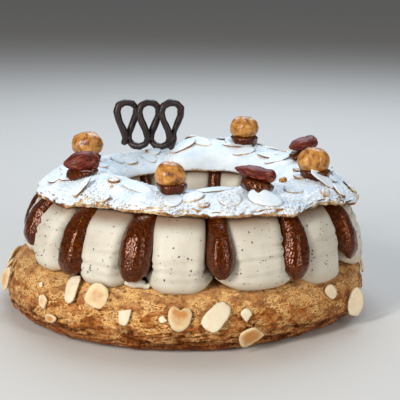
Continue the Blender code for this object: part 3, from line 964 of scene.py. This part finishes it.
# %% Lay the flakes on the base
# Azimuth and height; length, width and bearing; curl, toast, squareness, cut, taper and notch; roll.
SIDE_FLAKES = [
    ((10.9, 19.7), (16.4, 9.8, 46), (0.5, 0.02, 3.6), 0),
    ((21, 9.6), (13, 10, 30), (-1.2, 0.7, 3, 0.8), 0),
    ((-25.2, 26.2), (12.6, 11.4, 75), (0.2, 0.42, 2.6), 12),
    ((0.4, 20.2), (14.8, 11.4, 84), (0.8, 0.42, 2.1, None, -0.1, 0.6), 0),
    ((61.5, 13.4), (15.5, 10, 82), (0.4, 0.1, 2.1), -36),
    ((51.5, 22), (8.5, 6, -55), (0.2, 0.15, 2.6), 10),
    ((-15.6, 20), (11.4, 6, 83), (0.2, 0.02, 3.6, 0.35, -0.2), 0),
    ((-34.8, 26.6), (15.5, 7.5, 102), (0.7, 0.05, 3.4, None, -0.15), 0),
    ((19.9, 19), (8, 5, -60), (0.3, 0.0, 3, 0.3), 0),
    ((-4.2, 18.8), (4.5, 3.2, 20), (0.1, 0.05, 3, 0.4), 0),
    ((-45, 18), (8.5, 5.5, -30), (1.0, 0.35, 2.2, 0.6), 0),
    ((-46.4, 19.2), (3.5, 3, 10), (0.1, 0.0, 2.5, 0.2), 0),
    ((-48.8, 24.7), (3.5, 2.6, 10), (0.1, 0.0, 3, 0.2), 0),
    ((-40.7, 11.8), (9.5, 4.5, 12), (0.5, 0.6, 2.2), 0),
    ((-73.7, 17), (14, 8, 78), (1.2, 0.45, 2), 25),
    ((-78, 24), (9, 5, 60), (0.8, 0.6, 2, 0.5), -25),
]
STREWN_ON_BASE = 19  # on the sides and at the back, one about every 10 degrees
slicing = Random(11)
for turn in range(STREWN_ON_BASE):
    azimuth = 84 + turn * 10.6 + slicing.uniform(-4, 4)
    cut = slicing.choice([None, None, None, 0.3, 0.6])
    whole = (slicing.uniform(13, 19), slicing.uniform(8, 12)) if cut is None else (11, 7)
    body = (slicing.uniform(0.2, 0.9), slicing.uniform(0, 0.5), slicing.uniform(2, 3.4), cut)
    spot = (azimuth, slicing.uniform(9, 26))
    SIDE_FLAKES.append((spot, (*whole, slicing.uniform(0, 180)), body, 0))

# A long flake, or one rolled on its side, is lifted so that its ends don't sink into the crust.
side_flakes = flake_mesh()
for (azimuth, height), (length, width, bearing), body, roll in SIDE_FLAKES:
    spot, normal = on_side(crust_surface, azimuth, height)
    lift = 0.9 + 0.055 * length + 0.06 * abs(roll)
    add_flake(side_flakes, seat(spot, normal, bearing, lift, roll=roll), length, width, *body)
finish("flaked_almonds_on_base", side_flakes, flaked_almond)

# %% Lay the flakes on the lid
# Azimuth and radius; length, width and bearing; tip and roll; how bare of sugar it is.
LID_FLAKES = [
    ((-25.8, 67.2), (20, 9, -12), (2, 4), -0.1),
    ((-38.8, 66.7), (7, 5, 5), (0, 14), 0.7),
    ((-47.3, 78), (14, 5, 66), (-16, 0), 0.1),
    ((-34.5, 80.5), (8, 4, 14), (-12, 10), 0.3),
    ((-8.7, 74.2), (12, 9.5, -88), (-6, 0), -0.1),
    ((-1.2, 71.8), (12, 7, 12), (-6, 4), 0.3),
    ((2.9, 78.1), (6, 4.4, 0), (6, 12), 0.5),
    ((12.8, 75.2), (12, 9.5, -4), (3, 24), 0.02),
    ((9.3, 61.5), (20, 8, 5), (0, -4), -0.1),
    ((26.2, 77.2), (18.5, 9, -32), (4, 28), -0.1),
    ((44.6, 71.1), (14, 8, -8), (3, 6), 0.1),
    ((65.5, 72.8), (16.5, 7.5, -84), (17, 14), 0.1),
    ((67, 59.5), (9, 6, 20), (-6, 12), 0.7),
    ((83, 56.5), (9, 5, 40), (-10, 8), 0.8),
    ((56.9, 79.6), (8, 5, 15), (-5, 10), 0.45),
    ((68.7, 80.6), (15, 9, 25), (6, 8), 0.2),
    ((76, 74), (16, 9, -20), (5, 8), 0.1),
    ((82, 84), (14, 8, 30), (7, 6), 0.3),
    ((88, 70), (17, 10, 15), (5, 0), 0.1),
    ((-62, 74), (15, 9, 30), (4, 4), 0.2),
    ((-75, 66), (13, 8, -20), (5, 0), 0.4),
    ((-130, 52), (14, 9, 10), (5, 0), 0.6),
    ((149, 53), (15, 9, 40), (5, 0), 0.3),
]
STREWN_ON_LID = 34  # in the same way, one about every 6 degrees
for turn in range(STREWN_ON_LID):
    azimuth = 95 + turn * 5.9 + slicing.uniform(-3, 3)
    shape = (slicing.uniform(12, 19), slicing.uniform(7, 11), slicing.uniform(0, 180))
    lean = (slicing.uniform(-6, 7), slicing.uniform(-5, 5))
    spot = (azimuth, slicing.uniform(52, 82))
    LID_FLAKES.append((spot, shape, lean, slicing.choice([0, 0.1, 0.2, 0.5])))

# Here a steeply tipped flake is lifted too, so that it stands in the sugar on its end.
lid_flakes = flake_mesh()
for (azimuth, radius), (length, width, bearing), (tip, roll), bare in LID_FLAKES:
    spot, normal = on_top(lid_surface, azimuth, radius)
    lift = 0.5 + 0.04 * abs(roll) + (0.3 * length * sin(radians(abs(tip))) if abs(tip) > 12 else 0)
    add_flake(lid_flakes, seat(spot, normal, bearing, lift, tip, roll), length, width, toast=bare)
finish("flaked_almonds_on_lid", lid_flakes, sugared_choux)

# %% Drop a few bits of hazelnut
# Azimuth and radius on the lid; half the length, width and height.
NUT_BITS = [((55, 56), (2.5, 1.8, 1.7)), ((83, 57.5), (1.7, 1.2, 1)), ((92, 61), (1.4, 1.1, 0.9))]
NUT_BITS += [((-36, 72), (1.1, 0.8, 0.7)), ((160, 75), (1.8, 1.3, 1.2)), ((-150, 60), (1.4, 1.1, 1))]

nut_bits = bmesh.new()
for (azimuth, radius), size in NUT_BITS:
    spot, normal = on_top(lid_surface, azimuth, radius)
    lay = seat(spot, normal, azimuth * 3, size[2] * 0.7) @ Matrix.Diagonal((*size, 1))
    bmesh.ops.create_icosphere(nut_bits, subdivisions=3, radius=1, matrix=lay)
relief(nut_bits, lambda place, normal: 0.45 * wave(place, 1.8, 83))
finish("hazelnut_bits", nut_bits, roasted_hazelnut)

# %% [markdown]
# ## Vanilla grains and sugar
#
# Vanilla seeds and sugar are too many to model one by one. Geometry Nodes puts a copy of one small
# shape on every point of a list, and Realize Instances turns them all into one real mesh.


# %% Scatter copies of a shape
def scatter(name, spots, look):
    """One joined mesh with a small rounded grain at each spot: a place, a turn and a size."""
    grain = bmesh.new()
    bmesh.ops.create_icosphere(grain, subdivisions=1, radius=1)
    stamp = as_object(name + "_grain", grain)
    points = bmesh.new()
    layers = [points.verts.layers.float_vector.new(record) for record in ("turn", "size")]
    for place, *values in spots:
        point = points.verts.new(place)
        for layer, value in zip(layers, values):
            point[layer] = value
    group = bpy.data.node_groups.new(name, "GeometryNodeTree")
    for way in ("INPUT", "OUTPUT"):
        group.interface.new_socket("Geometry", in_out=way, socket_type="NodeSocketGeometry")
    source = group.nodes.new("NodeGroupInput")
    result = group.nodes.new("NodeGroupOutput")
    copies = group.nodes.new("GeometryNodeInstanceOnPoints")
    stamped = group.nodes.new("GeometryNodeObjectInfo")
    stamped.inputs["Object"].default_value = stamp
    real = group.nodes.new("GeometryNodeRealizeInstances")
    turn = group.nodes.new("FunctionNodeEulerToRotation")
    for record, target in (("turn", turn.inputs[0]), ("size", copies.inputs["Scale"])):
        values = group.nodes.new("GeometryNodeInputNamedAttribute")
        values.data_type = "FLOAT_VECTOR"
        values.inputs["Name"].default_value = record
        group.links.new(values.outputs["Attribute"], target)
    for output, target in (
        (source.outputs[0], copies.inputs["Points"]),
        (stamped.outputs["Geometry"], copies.inputs["Instance"]),
        (turn.outputs[0], copies.inputs["Rotation"]),
        (copies.outputs[0], real.inputs[0]),
        (real.outputs[0], result.inputs[0]),
    ):
        group.links.new(output, target)
    joined = after_modifier(points, "NODES", node_group=group)
    bpy.data.meshes.remove(stamp.data)
    finish(name, joined, look)


def lie_flat(normal, spin):
    """The Euler turn that stands Z on a surface."""
    turned = normal.to_track_quat("Z", "Y").to_matrix() @ Matrix.Rotation(spin, 3, "Z")
    return tuple(turned.to_euler())


# %% Vanilla grains
SPECKS = 850
SPECKS_FROM = 74  # radius beyond which a place on the cream is seen

ground_vanilla, tree, shader = new_material("ground_vanilla_pod")
feed(shader, {"Base Color": linear("5A4A3A"), "Roughness": 0.7})

sprinkling = Random(3)
specks = []
while len(specks) < SPECKS:
    azimuth = sprinkling.uniform(0, 360)
    level = sprinkling.uniform(33, 66)
    start = Vector((*around(azimuth, FAR, CREAM_CENTRE_X), level))
    inwards = Vector((CREAM_CENTRE_X, 0, level)) - start
    hits = [surface.ray_cast(start, inwards) for surface in cream_surfaces]
    found = [hit for hit in hits if hit[0]]
    if not found:
        continue
    spot, normal, _, _ = min(found, key=lambda hit: hit[3])
    if polar(spot, CREAM_CENTRE_X)[1] < SPECKS_FROM:
        continue
    size = sprinkling.choice([0.14, 0.18, 0.22, 0.3, 0.45])
    turn = lie_flat(normal, sprinkling.uniform(0, pi))
    specks.append((tuple(spot), turn, (size * sprinkling.uniform(1, 1.8), size, size * 0.5)))
scatter("vanilla_grains", specks, ground_vanilla)

# %% Icing sugar grains
# Real grains of icing sugar are finer. These are the few that clumped, and can be seen.
GRAINS = 4200

icing_sugar, tree, shader = new_material("icing_sugar")
feed(shader, {"Base Color": linear("F2F6FA"), "Roughness": 0.9})

grains = []
for _ in range(GRAINS):
    azimuth = sprinkling.uniform(0, 360)
    radius = 90 - 46 * sprinkling.random() ** 1.6
    spot, normal = on_top(lid_surface, azimuth, radius)
    if spot is None or normal.z < 0.25:
        continue
    size = sprinkling.uniform(0.25, 0.6)
    turn = lie_flat(normal, sprinkling.uniform(0, pi))
    sizes = (size, size * sprinkling.uniform(0.7, 1.2), size * 0.7)
    grains.append((tuple(spot + normal * 0.25), turn, sizes))
scatter("sugar_grains", grains, icing_sugar)

# %% Crumbs under the lid's rim
# The rim broke when the ring was split, so browned crumbs hang all along its lower edge.
CRUMBS = 1000
WIDEST = 94.0  # a radius just outside the rim, wherever it is looked for
RIM_STEP = 0.5
UNDER_LID = 40  # a height below all of the lid

toasted_crumb, tree, shader = new_material("toasted_choux_crumb")
browning = cloudy(own_place(tree), 3, 3)
crumb_tone = shades(browning, (0.35, "4A2710"), (0.5, "7E5026"), (0.65, "B98B55"))
feed(shader, {"Base Color": crumb_tone, "Roughness": 0.8})


def from_below(azimuth, radius):
    """The place on the lid's underside at a radius from its axis, or None outside it."""
    start = Vector((*around(azimuth, radius, LID_CENTRE_X), UNDER_LID))
    return lid_surface.ray_cast(start, Vector((0, 0, 1)))[0]


crumbs = []
for turn in range(CRUMBS):
    azimuth = turn * (360 / CRUMBS) + sprinkling.uniform(-0.2, 0.2)
    rim = WIDEST
    below = None
    while below is None and rim > LID_FINE_FROM:
        rim -= RIM_STEP
        below = from_below(azimuth, rim)
    if wave((rim * sin(radians(azimuth)), rim * cos(radians(azimuth)), 0), 9, 91) < 0:
        continue
    below = from_below(azimuth, rim - sprinkling.uniform(0.6, 3.6))
    if below is None:
        continue
    size = sprinkling.choice([0.3, 0.4, 0.6, 0.9])
    turned = [sprinkling.uniform(0, pi) for _ in range(3)]
    crumbs.append((tuple(below - Vector((0, 0, 0.3))), turned, (size, size * 0.8, size * 0.7)))
scatter("rim_crumbs", crumbs, toasted_crumb)

# %% [markdown]
# ## The table, the light and the camera
#
# A plain pale table and soft light from three sides show the food as it is. The tall, narrow light
# at the front left makes the long glints on the praline. The camera looks slightly down.

# %% Stage
table_paint, tree, shader = new_material("matt_pale_table")
feed(shader, {"Base Color": linear("D4D0CA"), "Roughness": 0.85})

table = bmesh.new()
bmesh.ops.create_grid(table, x_segments=1, y_segments=1, size=12)
floor = as_object("table", table)
floor.data.materials.append(table_paint)


def softbox(name, place, width, height, power, colour):
    """An upright light that faces the pastry."""
    light = bpy.data.lights.new(name, "AREA")
    light.shape = "RECTANGLE"
    light.size = width
    light.size_y = height
    light.energy = power
    light.color = linear(colour)[:3]
    lamp = bpy.data.objects.new(name, light)
    lamp.location = place
    lamp.rotation_euler = (Vector((0, 0, 0.05)) - Vector(place)).to_track_quat("-Z", "Y").to_euler()
    bpy.context.scene.collection.objects.link(lamp)


softbox("window_left", (-0.7, -0.85, 0.6), 0.2, 0.8, 12.5, "FFFCF8")
softbox("window_right", (0.75, -0.8, 0.45), 0.12, 0.7, 3.6, "FFF8F0")
softbox("sky_behind", (0.1, 0.6, 0.9), 0.8, 0.8, 10.2, "DCEBFA")

world = bpy.data.worlds.new("studio")
bpy.context.scene.world = world
world.use_nodes = True
feed(world.node_tree.nodes["Background"], {"Color": linear("DADDE2"), "Strength": 0.2})
bpy.context.scene.view_settings.view_transform = "Standard"

# %% Camera
# A long lens from about 65 cm away, as food is often seen: a little from above, and hardly tapered.
LOOKS_DOWN = 12.62  # degrees
TILTS = -0.45  # degrees
camera = bpy.data.cameras.new("camera")
camera.sensor_width = 36
camera.lens = 102.6
viewer = bpy.data.objects.new("camera", camera)
viewer.location = (0.009, -0.62, 0.195)
viewer.rotation_euler = Euler((radians(90 - LOOKS_DOWN), radians(TILTS), 0))
bpy.context.scene.collection.objects.link(viewer)
bpy.context.scene.camera = viewer
